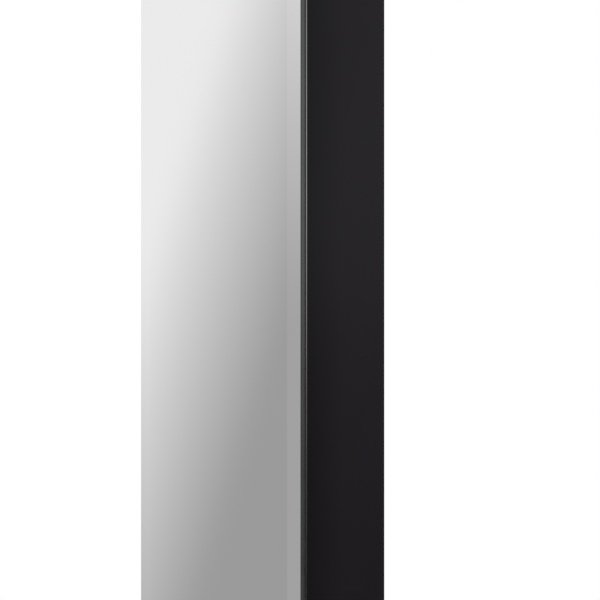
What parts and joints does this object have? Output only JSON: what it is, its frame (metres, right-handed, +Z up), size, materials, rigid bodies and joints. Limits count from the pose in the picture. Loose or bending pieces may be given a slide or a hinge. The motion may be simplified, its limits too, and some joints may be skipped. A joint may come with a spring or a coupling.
{
  "type": "mirror cabinet",
  "caption": "Tall wall-hung mirror cabinet: bevelled full-length mirror door on a continuous hinge, black case with glass shelves and magnetic catches.",
  "frame": {"origin": "on the wall plane, in the middle of the four wall holes", "axes": "+X to the right seen from the front, +Y into the wall, +Z up along the height"},
  "size_m": [0.3899, 0.2211, 1.778],
  "materials": {
    "black_lacquer": "satin black lacquer on fibreboard",
    "mirror_silver": "silvered float glass",
    "dark_anodised": "dark grey anodised",
    "bright_trim": "brushed natural",
    "gasket_rubber": "matt black",
    "shelf_glass": "clear, polished edges",
    "hinge_steel": "nickel plated",
    "screw_steel": "zinc plated",
    "pin_nickel": "nickel plated",
    "magnet_nickel": "nickel plated",
    "strike_steel": "zinc plated",
    "beech": "plain",
    "key_nylon": "moulded",
    "core_board": "hardboard",
    "foam_tape": "foam"
  },
  "bodies": {
    "carcass": {"left_side_panel": "black_lacquer", "right_side_panel": "black_lacquer", "top_panel": "black_lacquer", "bottom_panel": "black_lacquer", "back_panel": "black_lacquer", "upper_hanging_rail": "black_lacquer", "lower_hanging_rail": "black_lacquer", "back_mirror": "mirror_silver", "front_trim_left": "bright_trim", "front_trim_right": "bright_trim", "front_trim_top": "bright_trim", "front_trim_bottom": "bright_trim", "door_gasket": "gasket_rubber", "glass_shelf_1": "shelf_glass", "glass_shelf_2": "shelf_glass", "glass_shelf_3": "shelf_glass", "glass_shelf_4": "shelf_glass", "glass_shelf_5": "shelf_glass", "glass_shelf_6": "shelf_glass", "hinge_carcass_leaf": "hinge_steel", "hinge_pin": "hinge_steel", "hinge_carcass_screws": "screw_steel", "shelf_pins": "pin_nickel", "catch_cups": "pin_nickel", "catch_magnets": "magnet_nickel", "carcass_dowels": "beech", "back_mirror_tapes": "foam_tape"},
    "door": {"door_mirror": "mirror_silver", "door_frame_left": "dark_anodised", "door_frame_right": "dark_anodised", "door_frame_top": "dark_anodised", "door_frame_bottom": "dark_anodised", "door_corner_keys": "key_nylon", "door_core": "core_board", "inner_mirror": "mirror_silver", "mirror_tapes": "foam_tape", "strike_plates": "strike_steel", "strike_screws": "screw_steel", "hinge_door_leaf": "hinge_steel", "hinge_door_screws": "screw_steel"}
  },
  "joints": [
    {"name": "door_swing", "type": "hinge", "parent": "carcass", "child": "door", "pos_m": [-0.195, -0.2069, 0], "axis": [0, 0, -1], "range_deg": [0, 180]}
  ]
}
